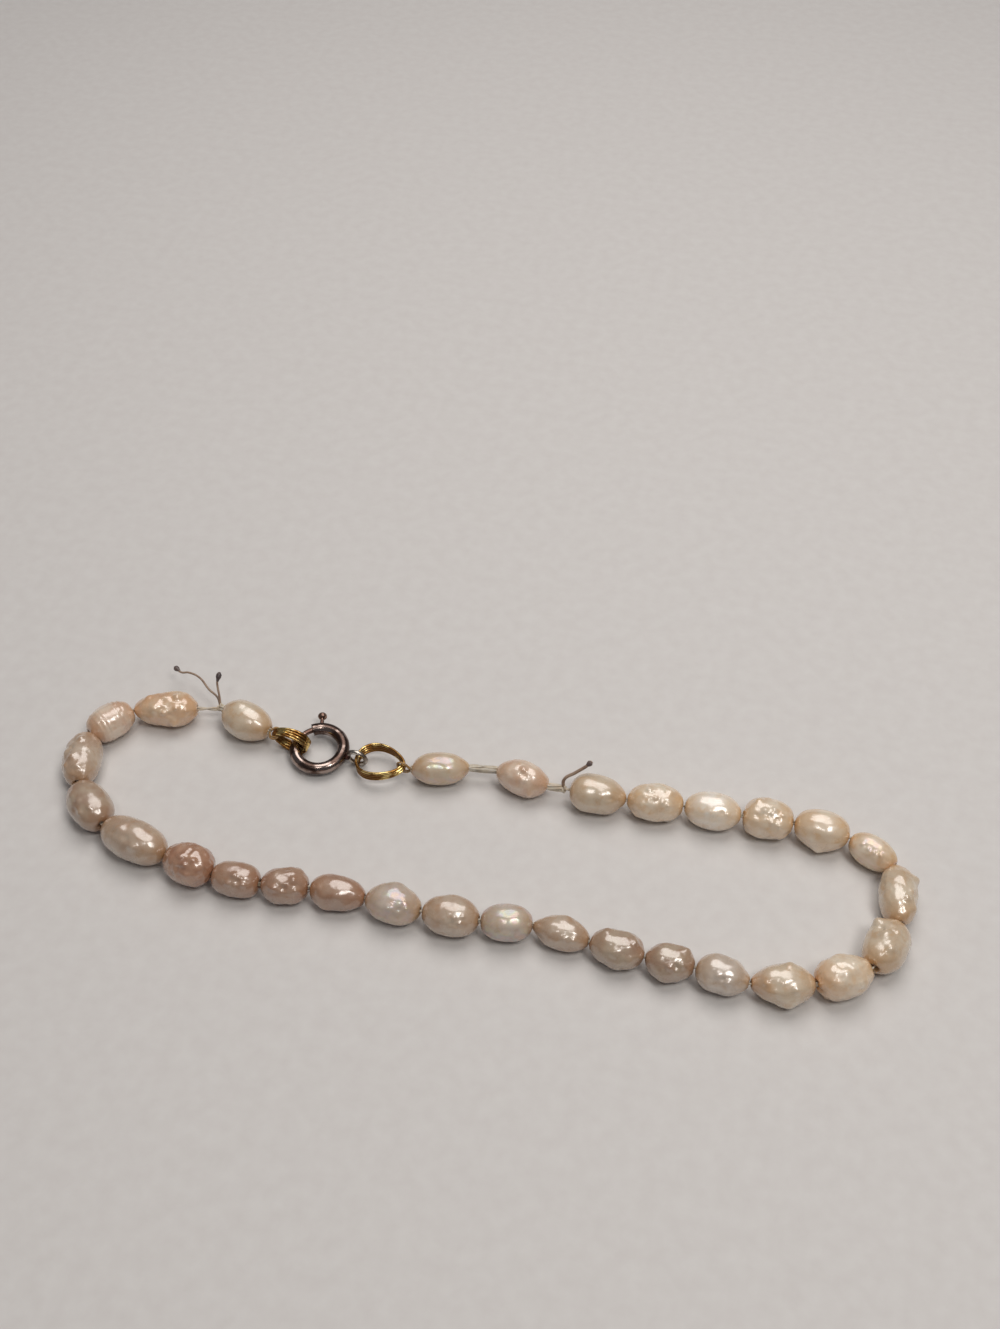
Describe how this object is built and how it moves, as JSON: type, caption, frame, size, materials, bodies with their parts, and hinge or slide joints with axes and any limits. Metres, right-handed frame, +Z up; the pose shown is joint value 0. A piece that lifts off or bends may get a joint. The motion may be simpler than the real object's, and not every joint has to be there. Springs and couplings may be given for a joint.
{
  "type": "pearl bracelet",
  "caption": "Pearl bracelet: one string of peach baroque freshwater pearls, knotted on nylon thread and closed by a tarnished spring ring between two gilt wire coils.",
  "frame": {"origin": "middle of the bracelet's box on the plane it lies on", "axes": "+X along the loop's long way, towards the end away from the clasp; +Y from the front row of pearls to the row with the clasp; +Z up"},
  "size_m": [0.083, 0.0248, 0.0048],
  "materials": {
    "nacre": "pearl lustre, peach to cream",
    "nylon_thread": "translucent nylon strands",
    "gilt_wire": "gilt wire, partly tarnished",
    "tarnished_metal": "polished, dark rose tarnish",
    "clasp_lever": "worn, dull tarnish"
  },
  "bodies": {
    "bracelet": {"pearl_01": "nacre", "pearl_02": "nacre", "pearl_03": "nacre", "pearl_04": "nacre", "pearl_05": "nacre", "pearl_06": "nacre", "pearl_07": "nacre", "pearl_08": "nacre", "pearl_09": "nacre", "pearl_10": "nacre", "pearl_11": "nacre", "pearl_12": "nacre", "pearl_13": "nacre", "pearl_14": "nacre", "pearl_15": "nacre", "pearl_16": "nacre", "pearl_17": "nacre", "pearl_18": "nacre", "pearl_19": "nacre", "pearl_20": "nacre", "pearl_21": "nacre", "pearl_22": "nacre", "pearl_23": "nacre", "pearl_24": "nacre", "pearl_25": "nacre", "pearl_26": "nacre", "pearl_27": "nacre", "pearl_28": "nacre", "pearl_29": "nacre", "thread": "nylon_thread", "end_coil_left": "gilt_wire", "end_coil_right": "gilt_wire", "clasp_ring": "tarnished_metal"},
    "trigger": {"clasp_trigger": "clasp_lever"}
  },
  "joints": [
    {"name": "clasp_trigger", "type": "hinge", "parent": "bracelet", "child": "trigger", "pos_m": [-0.01729, 0.00599, 0.00116], "axis": [-0.0051, -0.0696, 0.9976], "range_deg": [-40, 0], "stiffness_Nm_per_rad": 0.0005}
  ]
}
